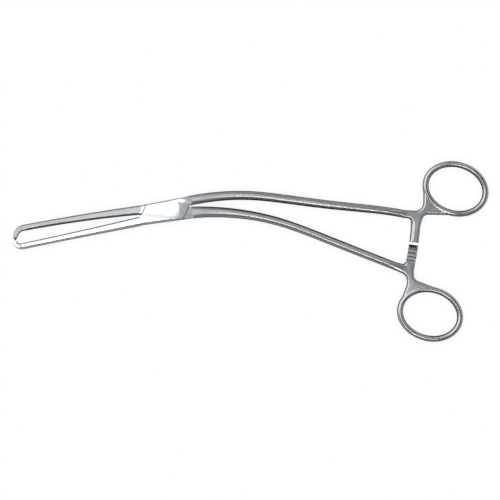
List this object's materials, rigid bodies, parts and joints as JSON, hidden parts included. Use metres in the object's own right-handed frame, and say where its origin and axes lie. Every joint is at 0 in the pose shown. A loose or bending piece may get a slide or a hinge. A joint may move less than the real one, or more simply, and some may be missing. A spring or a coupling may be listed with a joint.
{
  "type": "tenaculum forceps",
  "caption": "Box-lock forceps with bowed shanks, finger rings, a ratchet and slender jaws that end in a single hooked tooth each.",
  "frame": {"origin": "pivot axis at the underside of the lock, on the flat that the forceps rest on", "axes": "+X from the jaws to the finger rings, +Y across the instrument in its own plane towards the upper ring, +Z through the thickness away from the resting face"},
  "size_m": [0.2494, 0.0949, 0.0064],
  "materials": {
    "box_steel": "satin, ground and fine-brushed stainless steel",
    "tongue_steel": "satin, ground and fine-brushed stainless steel",
    "pin_steel": "satin, ground flush with the lock"
  },
  "bodies": {
    "box_side": {"box_half": "box_steel", "pivot_pin": "pin_steel"},
    "tongue_side": {"tongue_half": "tongue_steel"}
  },
  "joints": [
    {"name": "box_lock", "type": "hinge", "parent": "box_side", "child": "tongue_side", "pos_m": [0, 0, 0.0032], "axis": [0, 0, -1], "range_deg": [-1.6, 45]}
  ]
}
